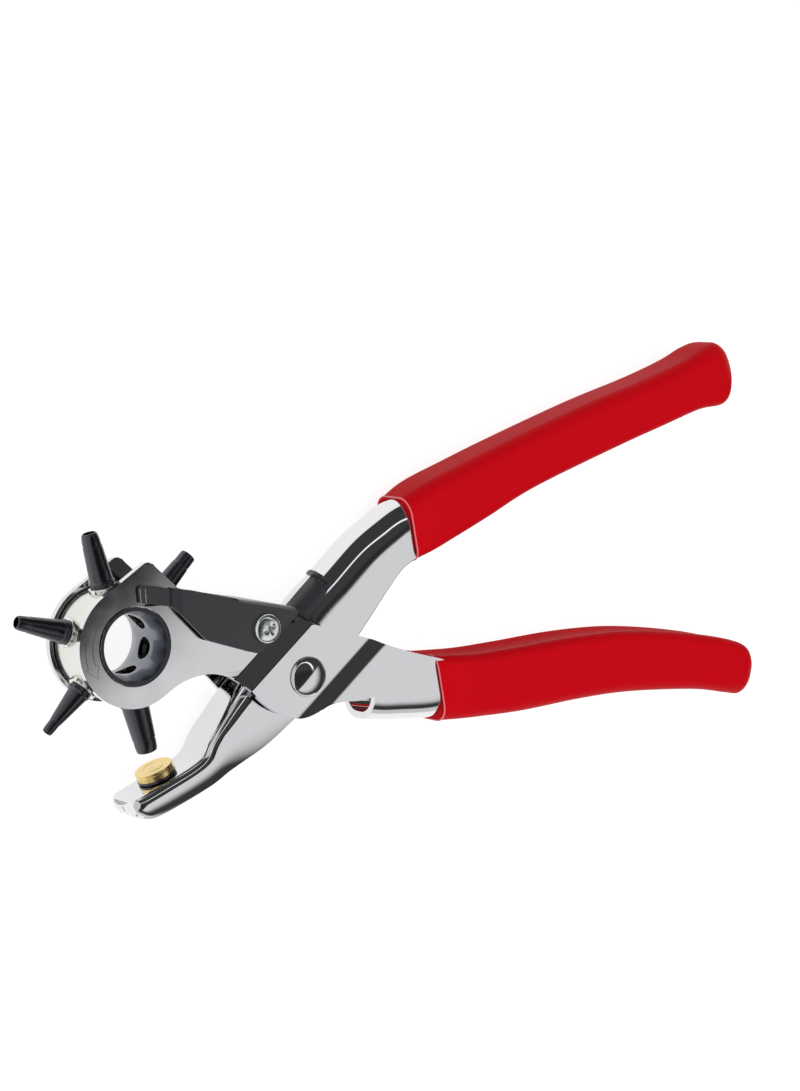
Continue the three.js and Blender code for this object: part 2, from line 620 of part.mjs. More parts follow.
function handleLatch() {
  const inner = ARM_BEND + GAP;
  const outer = inner + LATCH_SHEET;
  const c = ARM_OUTER - ARM_BEND;
  const at = (step) => STRAP.start.clone().addScaledVector(STRAP.along, step);
  const strap = solid(loft(Array.from({ length: 5 }, (_, i) => {
    const t = i / 4;
    const low = blend(STRAP.footAngles[0], STRAP.rearAngles[0], t);
    const high = blend(STRAP.footAngles[1], STRAP.rearAngles[1], t);
    return {
      at: at(blend(STRAP.foot, STRAP.rear, t)),
      down: STRAP.down,
      outline: [...arcPoints(ARM_BEND, c, outer, low, high, 5),
        ...arcPoints(ARM_BEND, c, inner, high, low, 5)],
    };
  })));
  const seat = ARM_BEND - outer * Math.sin(THREE.MathUtils.degToRad(STRAP.footAngles[0]));
  const cheek = new THREE.Shape();
  cheek.absarc(LATCH_PIN.x, LATCH_PIN.y, LATCH_EYE, THREE.MathUtils.degToRad(165),
    THREE.MathUtils.degToRad(400), false);
  const rearCorner = at(-2.6).addScaledVector(STRAP.down, seat - 0.4);
  const frontCorner = at(STRAP.foot).addScaledVector(STRAP.down, seat - 0.4);
  cheek.lineTo(rearCorner.x, rearCorner.y);
  cheek.lineTo(frontCorner.x, frontCorner.y);
  const low = ARM_OUTER + GAP;
  const plate = prismSolid(cheek, low, low + LATCH_SHEET);
  const tab = solid(loft([0, 1].map((t) => ({
    at: at(STRAP.rear - LATCH_SHEET * (1 - t)),
    down: STRAP.down,
    outline: TAB_RIM,
  }))));
  return strap.add(plate).add(tab)
    .subtract(solid(barZ(LATCH_PIN, LATCH_PIN_RADIUS + 0.25, 0, 15, 16)));
}

// ---------------------------------------------------------------- the tool

// The stretch of each handle channel that its grip covers, with a little mouth to spare.
const lowerCore = stations(LOWER_HANDLE, 2).slice(5);
const upperCore = stations(ARM, 2).slice(27);

add('punch_frame', chrome, geometryOf(punchFrame()));
add('anvil_arm', chrome, geometryOf(anvilArm()));
add('lower_grip', redGrip, geometryOf(grip(LOWER_GRIP, lowerCore, 5.0, 0.9)));
add('upper_grip', redGrip, geometryOf(grip(UPPER_GRIP, upperCore, GRIP_CORNER, 0.4)));
add('brass_anvil', brass, anvil());
add('anvil_washer', blackSteel, anvilWasher());

add('pivot_rivet', chrome, pivotRivet());
add('pivot_bush', steel, ringZ(v2(0, 0), RIVET_SHANK + GAP, BUSH_RADIUS,
  -(PIVOT_OUTER - FRAME_SHEET - GAP), PIVOT_OUTER - FRAME_SHEET - GAP));
const WASHER_LOW = ARM_OUTER + GAP;
const WASHER_HIGH = PIVOT_OUTER - FRAME_SHEET - GAP;
add('pivot_washer_near', steel, ringZ(v2(0, 0), BUSH_RADIUS + GAP, 6.0,
  WASHER_LOW, WASHER_HIGH));
add('pivot_washer_far', steel, ringZ(v2(0, 0), BUSH_RADIUS + GAP, 6.0,
  -WASHER_HIGH, -WASHER_LOW));
add('return_spring', springSteel, returnSpring());

add('turret_drum', steel, geometryOf(turretDrum()));
TUBE_SIZES.forEach((size, i) => {
  const name = `punch_tube_${size.toFixed(1).replace('.', '_')}`;
  add(name, blackSteel, punchTube(size, TUBE_PHASE + 360 * i / TUBE_COUNT));
});

add('index_bracket', blackPaint, geometryOf(indexBracket()));
add('index_spring', blackPaint, geometryOf(indexSpring()));
add('bracket_screw', zinc, geometryOf(bracketScrew()));
add('bracket_nut', zinc, geometryOf(bracketNut()));
const SLEEVE_HALF = HEAD_OUTER - FRAME_SHEET - GAP;
add('bracket_sleeve', steel, ringZ(SCREW, SCREW_SHANK + GAP, 3.2, -SLEEVE_HALF, SLEEVE_HALF));

add('handle_latch', blackPaint, geometryOf(handleLatch()));
const pinTop = ARM_OUTER + GAP + LATCH_SHEET;
add('latch_pin', steel, turnedZ([[0.01, 4.2], [2.4, 4.2], [2.4, ARM_OUTER - ARM_SHEET - GAP],
  [LATCH_PIN_RADIUS, ARM_OUTER - ARM_SHEET - GAP], [LATCH_PIN_RADIUS, pinTop],
  [0.01, pinTop]], LATCH_PIN, 16));

const tool = new THREE.Group();
parts.forEach((mesh) => tool.add(mesh));

// Row frame: bottom centre of the whole tool's box.
const box = new THREE.Box3().setFromObject(tool);
const centre = box.getCenter(new THREE.Vector3());
tool.position.set(-centre.x, -centre.y, -box.min.z);

export default tool;
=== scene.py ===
"""Rotary leather hole punch lying on its side on a pale studio floor.

The pieces are drawn in millimetres about the pivot rivet: X towards the handles,
Y towards the upper handle, Z across the tool. place() puts them in the row frame.
"""
import math

import bmesh
import bpy
from mathutils import Matrix, Vector
from mathutils.geometry import tessellate_polygon


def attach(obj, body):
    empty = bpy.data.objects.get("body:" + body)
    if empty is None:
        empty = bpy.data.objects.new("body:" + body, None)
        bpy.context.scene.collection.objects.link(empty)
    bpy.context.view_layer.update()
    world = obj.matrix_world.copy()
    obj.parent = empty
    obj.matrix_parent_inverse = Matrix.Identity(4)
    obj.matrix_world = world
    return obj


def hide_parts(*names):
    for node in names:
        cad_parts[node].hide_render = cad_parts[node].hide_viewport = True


PIVOT = Vector((-37.114, -24.950, 12.100))   # pivot rivet in the row frame, mm
MM = 0.001

SHEET = 1.8
HEAD_OUTER = 8.75
PIVOT_OUTER = 10.45
CHANNEL_OUTER = 7.5
CHANNEL_BEND = 6.4
ARM_OUTER = 7.2
ARM_BEND = 6.9
JAW_BEND = 2.2
BEND_OPENS = (-24, -6)                       # X over which the jaw's bend becomes the arm's
GRIP_OUTER = 9.1
HALF_THICKNESS = 12.1
TURRET = (-48.0, 10.7)
DRUM_RADIUS = 14.0
DRUM_HALF = 6.4
BOSS_RADIUS = 9.6
HUB_BORE = 7.4
BORE_EDGE = 8.7                              # outer edge of the bore's chamfer
SOCKET_RADIUS = 2.75
TUBE_PHASE = 46
TUBE_REACH = 28.5
TUBE_NOSE = 3.2                              # length of the rounded nose
TUBE_SEAT = 0.9                              # height of the seat ring above the drum
SCREW = (-12.3, 13.0)
ANVIL = (-38.6, -20.8)
ANVIL_RADIUS = 4.9
SEAT_ANGLE = 24
LATCH_PIN = (4.2, 9.6)
CHEEK_INNER = 9.8
CHEEK_OUTER = 10.9
LATCH_SHEET = 0.85
LEAF_SHEET = 0.45
LEAF_FOLD_HIGHLIGHTS = (-47.0, -45.6, -38.2)           # X of the pale lines painted on the leaf as highlights along its folds
NOSE_STATIONS = 14                           # stations over which the jaw's nose narrows
NOSE_SOLID = 6                               # stations of solid metal at its tip
JAW_TUCK = 1.15                              # how far the jaw's flanges curve in
GRIP_EDGE = 3.0
GRIP_LIP = 1.1                               # how far the mouth draws in round the handle
GRIP_TAPER = 0.93                            # 1 would bring the grip's end to an edge
RIM_RADIUS = 0.22
SPRING_RADIUS = 5.6
SPRING_WIRE = 1.3
RIVET_HEAD = 5.1
SCREW_HEAD = 3.7
GAP = 0.3


# ------------------------------------------------------------------ curves and sections

def polar(centre, radius, degrees):
    a = math.radians(degrees)
    return (centre[0] + radius * math.cos(a), centre[1] + radius * math.sin(a))


def arc(centre, radius, start, end, steps):
    return [polar(centre, radius, start + (end - start) * i / steps) for i in range(steps + 1)]


def spline_at(points, t):
    """A point of the smooth curve through the points, t from 0 to 1."""
    last = len(points) - 1
    where = t * last
    i = min(int(where), last - 1)
    u = where - i
    p0, p1 = points[max(i - 1, 0)], points[i]
    p2, p3 = points[i + 1], points[min(i + 2, last)]
    out = []
    for a, b, c, d in zip(p0, p1, p2, p3):
        v0, v1 = (c - a) / 2, (d - b) / 2
        out.append(((2 * b - 2 * c + v0 + v1) * u + (-3 * b + 3 * c - 2 * v0 - v1)) * u * u
                   + v0 * u + b)
    return tuple(out)


def spline(points, per_span):
    count = (len(points) - 1) * per_span
    return [spline_at(points, i / count) for i in range(count + 1)]


def stations(pairs, per_span):
    """Smooth stations between given pairs: back point, direction down, depth."""
    out = []
    for x, y, ex, ey in spline(pairs, per_span):
        depth = math.hypot(ex - x, ey - y)
        out.append({"at": (x, y), "down": ((ex - x) / depth, (ey - y) / depth), "depth": depth})
    return out


def on_section(station, depth, z):
    (x, y), (dx, dy) = station["at"], station["down"]
    return (x + dx * depth, y + dy * depth, z)


def corner(depth, z, radius, start, end, steps):
    out = []
    for i in range(steps + 1):
        a = math.radians(start + (end - start) * i / steps)
        out.append((depth - radius * math.sin(a), z + radius * math.cos(a)))
    return out


def channel_outline(depth, half, bend, sheet, steps=9, tuck=0.0, tip=0.3):
    """Folded channel: web at depth 0, two round-edged flanges that curve in by tuck."""
    r = min(bend, depth * 0.85)
    inner = max(r - sheet, 0.25)
    c = half - r
    ci = half - sheet - inner
    tip = min(tip, (depth - r) * 0.4)
    di = min(sheet + inner, depth - tip - 0.05)
    run = []
    for k in range(6, 0, -1):
        t = k / 6
        run.append((r + (depth - tip - r) * t, half - tuck * t * t))
    inside = [(max(d, di + 0.01), z - sheet) for d, z in run]
    edge = half - tuck
    nick = 0.3 * tip
    end = [(depth - nick, edge - nick), (depth, edge - tip), (depth, edge - sheet + tip),
           (depth - nick, edge - sheet + nick)]
    return [*run, *corner(r, c, r, 0, 90, steps), *corner(r, -c, r, 90, 180, steps),
            *((d, -z) for d, z in reversed(run)), *((d, -z) for d, z in end),
            *((d, -z) for d, z in inside),
            *corner(di, -ci, inner, 180, 90, steps), *corner(di, ci, inner, 90, 0, steps),
            *reversed(inside), *reversed(end)]


def sleeve_outline(depth, half, back, edge, dish=0.0, steps=8):
    """Rounded box of a dipped grip, with a shallow dish along its open side."""
    b = min(back, depth * 0.48)
    o = min(edge, depth * 0.48)
    flat = half - o
    floor = [(depth - dish * math.sin(math.pi * k / 10) ** 0.8, flat * (2 * k / 10 - 1))
             for k in range(1, 10)]
    return [*corner(b, half - b, b, 0, 90, steps), *corner(b, b - half, b, 90, 180, steps),
            *corner(depth - o, -flat, o, 180, 270, steps), *floor,
            *corner(depth - o, flat, o, 270, 360, steps)]


# ------------------------------------------------------------------ mesh builders

def loft(rings):
    """A closed skin through rings of equal length; each ring is a list of (x, y, z)."""
    count = len(rings[0])
    verts = [p for ring in rings for p in ring]
    faces = []
    for i in range(len(rings) - 1):
        for j in range(count):
            k = (j + 1) % count
            faces.append((i * count + j, i * count + k, (i + 1) * count + k, (i + 1) * count + j))
    for end in (0, len(rings) - 1):
        flat = [Vector(p) for p in rings[end]]
        faces += [tuple(end * count + n for n in tri) for tri in tessellate_polygon([flat])]
    return verts, faces


def lathe(profile, axis, segments=72):
    """Turns a closed (radius, height) profile; axis maps (radius, height, angle) to a point."""
    verts, faces = [], []
    count = len(profile)
    for i in range(segments):
        a = 2 * math.pi * i / segments
        verts += [axis(r, h, a) for r, h in profile]
    for i in range(segments):
        n = (i + 1) % segments
        for j in range(count):
            k = (j + 1) % count
            faces.append((i * count + j, i * count + k, n * count + k, n * count + j))
    return verts, faces


def about_z(centre):
    return lambda r, h, a: (centre[0] + r * math.cos(a), centre[1] + r * math.sin(a), h)


def about_radial(degrees):
    a0 = math.radians(degrees)
    u, v = (math.cos(a0), math.sin(a0)), (-math.sin(a0), math.cos(a0))

    def point(r, h, a):
        side = r * math.cos(a)
        return (TURRET[0] + u[0] * h + v[0] * side, TURRET[1] + u[1] * h + v[1] * side,
                r * math.sin(a))
    return point


def on_seat(r, h, a):
    s = math.radians(SEAT_ANGLE)
    side = r * math.cos(a)
    return (ANVIL[0] - math.sin(s) * h + math.cos(s) * side,
            ANVIL[1] + math.cos(s) * h + math.sin(s) * side, r * math.sin(a))


def sheet(outline, holes, level, thickness, cuts=(), seam=()):
    """A plate whose height follows level(x, y); no side wall is made along seam points."""
    loops = [[Vector((x, y, 0)) for x, y in loop] for loop in (outline, *holes)]
    points = [p for loop in loops for p in loop]
    bm = bmesh.new()
    made = [bm.verts.new(p) for p in points]
    for tri in tessellate_polygon(loops):
        bm.faces.new([made[n] for n in tri])
    for origin, normal in cuts:
        bmesh.ops.bisect_plane(bm, geom=bm.verts[:] + bm.edges[:] + bm.faces[:],
                               plane_co=origin, plane_no=normal, dist=1e-5)
    bm.verts.index_update()
    count = len(bm.verts)
    flat = [(v.co.x, v.co.y) for v in bm.verts]
    verts = [(x, y, level(x, y)) for x, y in flat]
    verts += [(x, y, level(x, y) - thickness) for x, y in flat]
    faces = [tuple(v.index for v in f.verts) for f in bm.faces]
    faces += [tuple(v.index + count for v in reversed(f.verts)) for f in bm.faces]
    seam = {(round(x, 3), round(y, 3)) for x, y in seam}
    for e in bm.edges:
        if len(e.link_faces) == 1:
            a, b = (v.index for v in e.verts)
            ends = [(round(flat[n][0], 3), round(flat[n][1], 3)) for n in (a, b)]
            if not (ends[0] in seam and ends[1] in seam):
                faces.append((a, b, b + count, a + count))
    bm.free()
    return verts, faces


def mirrored(part):
    verts, faces = part
    return [(x, y, -z) for x, y, z in verts], [tuple(reversed(f)) for f in faces]


def joined(*parts):
    verts, faces = [], []
    for v, f in parts:
        start = len(verts)
        verts += v
        faces += [tuple(n + start for n in face) for face in f]
    return verts, faces


def place(point):
    return (Vector(point) + PIVOT) * MM


def mesh_object(name, part):
    verts, faces = part
    mesh = bpy.data.meshes.new(name)
    mesh.from_pydata([place(v) for v in verts], [], faces)
    bm = bmesh.new()
    bm.from_mesh(mesh)
    bmesh.ops.remove_doubles(bm, verts=bm.verts, dist=2e-6)
    bmesh.ops.dissolve_degenerate(bm, edges=bm.edges, dist=1e-7)
    bmesh.ops.recalc_face_normals(bm, faces=bm.faces)
    bm.to_mesh(mesh)
    bm.free()
    obj = bpy.data.objects.new(name, mesh)
    bpy.context.scene.collection.objects.link(obj)
    return obj


def combined(obj, other, operation):
    """Joins other to obj, or cuts it away, and keeps the result as obj's own mesh."""
    modifier = obj.modifiers.new("combine", "BOOLEAN")
    modifier.operation = operation
    modifier.solver = "EXACT"
    modifier.object = other
    depsgraph = bpy.context.evaluated_depsgraph_get()
    mesh = bpy.data.meshes.new_from_object(obj.evaluated_get(depsgraph))
    obj.modifiers.remove(modifier)
    obj.data = mesh
    bpy.data.objects.remove(other)
    return obj


def assign(obj, surface, body, nodes=()):
    """Material, body and the CAD nodes that the piece stands for."""
    obj.data.materials.clear()
    obj.data.materials.append(surface)
    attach(obj, body)
    if nodes:
        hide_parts(*nodes)
    return obj


def finish(obj, surface, body, nodes=(), bevel=0.0, angle=32, segments=3):
    """Smooth shading and rounded edges for a mesh piece, then assign()."""
    mesh = obj.data
    mesh.polygons.foreach_set("use_smooth", [True] * len(mesh.polygons))
    if bevel:
        edge = obj.modifiers.new("edges", "BEVEL")
        edge.width = bevel * MM
        edge.segments = segments
        edge.limit_method = "ANGLE"
        edge.angle_limit = math.radians(angle)
    normals = obj.modifiers.new("normals", "WEIGHTED_NORMAL")
    normals.mode = "FACE_AREA"
    normals.weight = 50
    return assign(obj, surface, body, nodes)


def line_object(name, points, radius, closed=False):
    curve = bpy.data.curves.new(name, "CURVE")
    curve.dimensions = "3D"
    curve.bevel_depth = radius * MM
    curve.bevel_resolution = 5
    curve.use_fill_caps = True
    strand = curve.splines.new("POLY")
    strand.points.add(len(points) - 1)
    for target, point in zip(strand.points, points):
        target.co = (*place(point), 1)
    strand.use_cyclic_u = closed
    strand.use_smooth = True
    obj = bpy.data.objects.new(name, curve)
    bpy.context.scene.collection.objects.link(obj)
    return obj


# ------------------------------------------------------------------ materials

def material(name, color, metallic, roughness, vary=0.04, scale=900, **sockets):
    """A procedural finish with a fine variation in roughness."""
    made = bpy.data.materials.new(name)
    made.use_nodes = True
    nodes, links = made.node_tree.nodes, made.node_tree.links
    shader = nodes["Principled BSDF"]
    shader.inputs["Base Color"].default_value = (*color, 1)
    shader.inputs["Metallic"].default_value = metallic
    for socket, value in sockets.items():
        shader.inputs[socket.replace("_", " ")].default_value = value
    coords = nodes.new("ShaderNodeTexCoord")
    noise = nodes.new("ShaderNodeTexNoise")
    noise.inputs["Scale"].default_value = scale
    noise.inputs["Detail"].default_value = 4
    links.new(coords.outputs["Object"], noise.inputs["Vector"])
    spread = nodes.new("ShaderNodeMapRange")
    spread.inputs["From Min"].default_value = 0.3
    spread.inputs["From Max"].default_value = 0.7
    spread.inputs["To Min"].default_value = max(roughness - vary, 0.02)
    spread.inputs["To Max"].default_value = roughness + vary
    links.new(noise.outputs["Fac"], spread.inputs["Value"])
    links.new(spread.outputs["Result"], shader.inputs["Roughness"])
    return made


CHROME = material("chrome_plate", (0.70, 0.705, 0.715), 1, 0.06, 0.015, 160)
RIVET = material("chrome_rivet", (0.72, 0.71, 0.70), 1, 0.07, 0.02, 300)
NICKEL = material("nickel_drum", (0.72, 0.72, 0.68), 1, 0.16, 0.04, 300)
PLAIN = material("plain_steel", (0.55, 0.55, 0.56), 1, 0.32, 0.08, 700)
SPRING = material("spring_steel", (0.35, 0.35, 0.37), 1, 0.30, 0.08, 900)
ZINC = material("zinc_screw", (0.86, 0.90, 0.89), 1, 0.20, 0.05, 800)
TUBE = material("black_tube_steel", (0.085, 0.088, 0.096), 1, 0.29, 0.02, 2500)
BLACK = material("black_paint", (0.026, 0.025, 0.029), 0.15, 0.36, 0.015, 2500,
                 Coat_Weight=0.25, Coat_Roughness=0.15)
BRASS = material("brass", (0.82, 0.61, 0.25), 1, 0.24, 0.04, 1500)
# darker steel for the turret's bore: painted shade inside the hole
BORE = material("bore_painted_shade", (0.24, 0.25, 0.28), 1, 0.24, 0.03, 1500)
RED = material("red_grip", (0.45, 0.0025, 0.0065), 0, 0.40, 0.02, 1500,
               Specular_IOR_Level=0.015)
# lighter pink for the grip's mouth rim: a painted highlight along the mouth's edge
RIM_HIGHLIGHT = material("grip_rim_painted_highlight", (0.66, 0.12, 0.13), 0, 0.35, 0.02, 1500)
ENGRAVED = material("engraved_line", (0.075, 0.075, 0.08), 0.4, 0.5, 0.08, 900)


# ------------------------------------------------------------------ frame

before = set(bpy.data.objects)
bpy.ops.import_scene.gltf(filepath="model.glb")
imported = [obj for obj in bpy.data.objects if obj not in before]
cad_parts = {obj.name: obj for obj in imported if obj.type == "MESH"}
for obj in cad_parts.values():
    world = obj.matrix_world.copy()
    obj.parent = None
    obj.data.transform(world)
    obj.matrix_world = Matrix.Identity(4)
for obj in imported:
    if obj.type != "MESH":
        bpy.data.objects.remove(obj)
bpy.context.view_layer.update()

JOGGLE = math.radians(41.5)
ACROSS = Vector((math.sin(JOGGLE), -math.cos(JOGGLE), 0))
JOGGLE_START, JOGGLE_END = -14.0, -8.8       # where the plates step out, along ACROSS
DROP_START, DROP_END = 5.1, 12.7             # where they step in to the handle channel


def ramp_between(t, rounding=0.17):
    """From 0 to 1 at a steady slope, with a short round at both ends."""
    t = min(max(t, 0.0), 1.0)
    steady = 1 / (1 - rounding)
    if t < rounding:
        return steady * t * t / (2 * rounding)
    if t > 1 - rounding:
        return 1 - steady * (1 - t) ** 2 / (2 * rounding)
    return steady * (t - rounding / 2)


def plate_level(x, y):
    s = ACROSS.x * x + ACROSS.y * y
    rise = ramp_between((s - JOGGLE_START) / (JOGGLE_END - JOGGLE_START))
    fall = ramp_between((s - DROP_START) / (DROP_END - DROP_START), 0.3)
    return HEAD_OUTER + (PIVOT_OUTER - HEAD_OUTER) * rise - (PIVOT_OUTER - CHANNEL_OUTER) * fall


def joggle_cuts(steps=12):
    cuts = []
    for start, end in ((JOGGLE_START, JOGGLE_END), (DROP_START, DROP_END)):
        cuts += [(ACROSS * (start + (end - start) * i / steps), ACROSS) for i in range(steps + 1)]
    return cuts


LOWER_HANDLE = [
    (21.8, -13.6, 22.2, 1.8), (26.0, -14.2, 26.4, 3.4), (31.0, -14.5, 31.2, 4.2),
    (41.0, -14.8, 40.8, 1.6), (50.0, -13.7, 50.0, -0.4), (70.0, -13.0, 69.0, 0.4),
]


def frame_plates():
    """Both joggled plates and the folded web of the handle channel, in one sheet."""
    handle = stations(LOWER_HANDLE, 8)
    seam = [on_section(s, CHANNEL_BEND, 0)[:2] for s in handle]
    outline = [(-31.9, 22.0), (-36.1, 24.3), (-42.3, 29.8)]
    outline += arc((-44.4, 28.7), 2.3, 28.6, 126, 10)
    outline += arc(TURRET, 15.2, 124, 286, 60)
    outline += spline([outline[-1], (-41.0, -2.6), (-35.7, 0.7), (-30.6, 2.2), (-26.2, 2.4),
                       (-21.6, 1.1), (-17.3, -1.6), (-12.8, -5.9), (-8.2, -8.8),
                       (-3.5, -10.3), (0.6, -10.5), (4.5, -9.7), (8.6, -8.2),
                       (12.6, -7.7), (17.2, -7.8), seam[0]], 6)[1:-1]
    outline += seam
    outline += spline([(69.0, 0.4), (50.0, -0.4), (40.8, 1.6), (31.0, 4.2), (20.4, 7.8)], 6)
    outline += [(2.4, 12.9), (-2.4, 15.1), (-13.0, 17.6), (-20.0, 18.9)]
    slot = [(-45.4, 20.3), (-41.0, 20.3), (-41.0, 24.9), (-45.4, 24.9)]
    holes = [arc(TURRET, BOSS_RADIUS + GAP, 0, 354, 59), slot]
    near = sheet(outline, holes, plate_level, SHEET, joggle_cuts(), seam)
    c = CHANNEL_OUTER - CHANNEL_BEND
    r = CHANNEL_BEND - SHEET
    outer = corner(CHANNEL_BEND, c, CHANNEL_BEND, 0, 90, 9)
    outer += corner(CHANNEL_BEND, -c, CHANNEL_BEND, 90, 180, 9)
    inner = corner(CHANNEL_BEND, c, r, 0, 90, 9) + corner(CHANNEL_BEND, -c, r, 90, 180, 9)
    verts, faces = [], []
    count = len(outer)
    for s in handle:
        verts += [on_section(s, d, z) for d, z in outer + inner]
    for i in range(len(handle) - 1):
        for j in range(count - 1):
            a, b = i * 2 * count + j, (i + 1) * 2 * count + j
            faces.append((a, a + 1, b + 1, b))
            a, b = a + count, b + count
            faces.append((a + 1, a, b, b + 1))
    for end in (0, len(handle) - 1):
        for j in range(count - 1):
            a = end * 2 * count + j
            faces.append((a, a + 1, a + 1 + count, a + count))
    plates = mesh_object("frame_plates", joined(near, mirrored(near), (verts, faces)))
    return finish(plates, CHROME, "frame", ["punch_frame"], 0.28, 40)


ARM = [
    (-48.2, -29.3, -47.0, -31.4), (-47.2, -27.9, -44.8, -32.4), (-44.8, -26.7, -41.0, -32.4),
    (-38.6, -24.0, -34.1, -29.9), (-31.0, -20.6, -25.1, -25.9), (-27.5, -18.2, -20.2, -22.9),
    (-25.6, -14.6, -16.5, -20.9), (-21.6, -9.0, -9.4, -17.0), (-17.2, -3.1, -1.4, -11.0),
    (-8.6, 7.2, 5.3, -5.4), (0.6, 18.2, 14.4, 5.4), (9.5, 26.3, 21.4, 13.9),
    (17.6, 33.7, 26.8, 20.6), (24.4, 38.4, 31.0, 25.2), (31.3, 42.3, 35.6, 27.9),
    (40.6, 45.2, 42.6, 32.4), (52.0, 49.5, 55.6, 38.4), (65.2, 54.6, 71.4, 46.0),
]


def domed(rings, rise=0.7, steps=6):
    """Extra rings that close the first ring with a low dome, outermost first."""
    first = [Vector(p) for p in rings[0]]
    middle = sum(first, Vector()) / len(first)
    inward = sum((Vector(p) for p in rings[1]), Vector()) / len(first) - middle
    outward = -inward.normalized()
    out = []
    for k in range(steps, 0, -1):
        a = math.pi / 2 * k / steps
        out.append([tuple(middle + outward * rise * math.sin(a)
                          + (p - middle) * max(math.cos(a), 0.02)) for p in first])
    return out


def arm_channel():
    """The folded arm: rounded nose, flanges curved in along the jaw, full bend behind."""
    rings, block = [], []
    for i, s in enumerate(stations(ARM, 7)):
        opening = min(max((s["at"][0] - BEND_OPENS[0]) / (BEND_OPENS[1] - BEND_OPENS[0]), 0), 1)
        bend = JAW_BEND + (ARM_BEND - JAW_BEND) * opening
        half = ARM_OUTER * math.sqrt(1 - 0.9 * max(1 - i / NOSE_STATIONS, 0) ** 2)
        tuck = JAW_TUCK * (1 - ramp_between((s["at"][0] + 30) / 26, 0.4))
        section = channel_outline(s["depth"], half, bend, SHEET, 10, tuck)
        rings.append([on_section(s, d, z) for d, z in section])
        if i < NOSE_SOLID:
            solid = sleeve_outline(s["depth"], half - tuck * 0.2, min(bend, 2.0), 1.0)
            block.append([on_section(s, d, z) for d, z in solid])
    arm = mesh_object("arm_channel", joined(loft(rings), loft([*domed(block), *block])))
    return finish(arm, CHROME, "arm", ["anvil_arm"])


LOWER_GRIP = [
    (44.0, -15.6, 40.6, 2.0), (56.0, -15.4, 54.6, 1.7), (70.4, -14.9, 69.0, 2.6),
    (87.9, -13.3, 86.4, 4.0), (102.0, -12.6, 103.6, 4.3), (115.4, -12.9, 119.0, 3.0),
    (130.0, -13.9, 134.4, 0.6), (140.0, -15.6, 143.6, -1.9), (144.8, -16.2, 147.2, -5.0),
    (148.0, -13.8, 149.2, -8.6),
]
UPPER_GRIP = [
    (32.2, 43.0, 35.2, 27.0), (40.2, 47.3, 43.7, 30.8), (51.2, 51.6, 57.1, 37.0),
    (64.4, 56.6, 72.2, 44.2), (90.8, 65.9, 98.3, 53.6), (110.9, 72.1, 116.1, 59.5),
    (124.0, 76.8, 127.8, 63.3), (130.6, 80.0, 136.2, 64.7), (134.8, 81.4, 139.4, 69.2),
    (138.2, 80.6, 140.6, 75.4),
]


def grip(name, pairs, back, dish, inner_half, body, node):
    """A dipped grip: open mouth round the handle, rounded end."""
    per_span = 7
    row = stations(pairs, per_span)
    tail = 2.5 * per_span
    wall = 1.5
    rings = []
    for s in (row[3], row[0]):
        section = sleeve_outline(s["depth"] - 2 * wall, inner_half, 6.2, 1.4)
        rings.append([on_section(s, d + wall, z) for d, z in section])
    for i, s in enumerate(row):
        end = min(max((i - (len(row) - 1 - tail)) / tail, 0), 1)
        lip = GRIP_LIP * (1 - ramp_between(i / 6, 0.45))
        half = GRIP_OUTER * math.sqrt(1 - GRIP_TAPER * end * end) - lip
        section = sleeve_outline(s["depth"], half, back, GRIP_EDGE, dish * (1 - end))
        rings.append([on_section(s, d, z) for d, z in section])
    sleeve = mesh_object(name, loft([*rings, *reversed(domed(rings[::-1], 0.5))]))
    # thin lighter pink line round the mouth: a painted highlight where the mouth's edge catches
    # the light
    rim_highlight = line_object(f"{name}_rim", rings[2], RIM_RADIUS, True)
    assign(rim_highlight, RIM_HIGHLIGHT, body)
    return finish(sleeve, RED, body, [node], 0.4, 50)


frame_plates()
arm_channel()
grip("lower_grip_sleeve", LOWER_GRIP, 5.0, 1.3, 7.4, "frame", "lower_grip")
grip("upper_grip_sleeve", UPPER_GRIP, 4.6, 0.4, 7.1, "arm", "upper_grip")


# ------------------------------------------------------------------ turret

def drum():
    end = HEAD_OUTER + 0.25
    straight = 4.6
    profile = [(HUB_BORE, -straight), (BORE_EDGE, -end), (BOSS_RADIUS, -end),
               (BOSS_RADIUS, -DRUM_HALF), (DRUM_RADIUS, -DRUM_HALF), (DRUM_RADIUS, DRUM_HALF),
               (BOSS_RADIUS, DRUM_HALF), (BOSS_RADIUS, end), (BORE_EDGE, end),
               (HUB_BORE, straight)]
    body = mesh_object("drum", lathe(profile, about_z(TURRET), 96))
    for n in range(6):
        socket = [(0, 4.0), (SOCKET_RADIUS, 4.0), (SOCKET_RADIUS, DRUM_RADIUS + 2),
                  (0, DRUM_RADIUS + 2)]
        cutter = mesh_object("cutter", lathe(socket, about_radial(TUBE_PHASE + 60 * n), 40))
        combined(body, cutter, "DIFFERENCE")
    finish(body, NICKEL, "turret", ["turret_drum"], 0.25, 25)
    body.data.materials.append(BORE)
    body.data.materials.append(TUBE)
    axis = place((*TURRET, 0))
    # faces in the bore take the darker bore material as painted shade; the boss's end face round
    # it takes the black tube steel as a painted dark gap
    for face in body.data.polygons:
        reach = (face.center - axis).xy.length / MM
        if reach < BORE_EDGE + 0.02:
            face.material_index = 1
        elif reach < BOSS_RADIUS - 0.05:
            face.material_index = 2


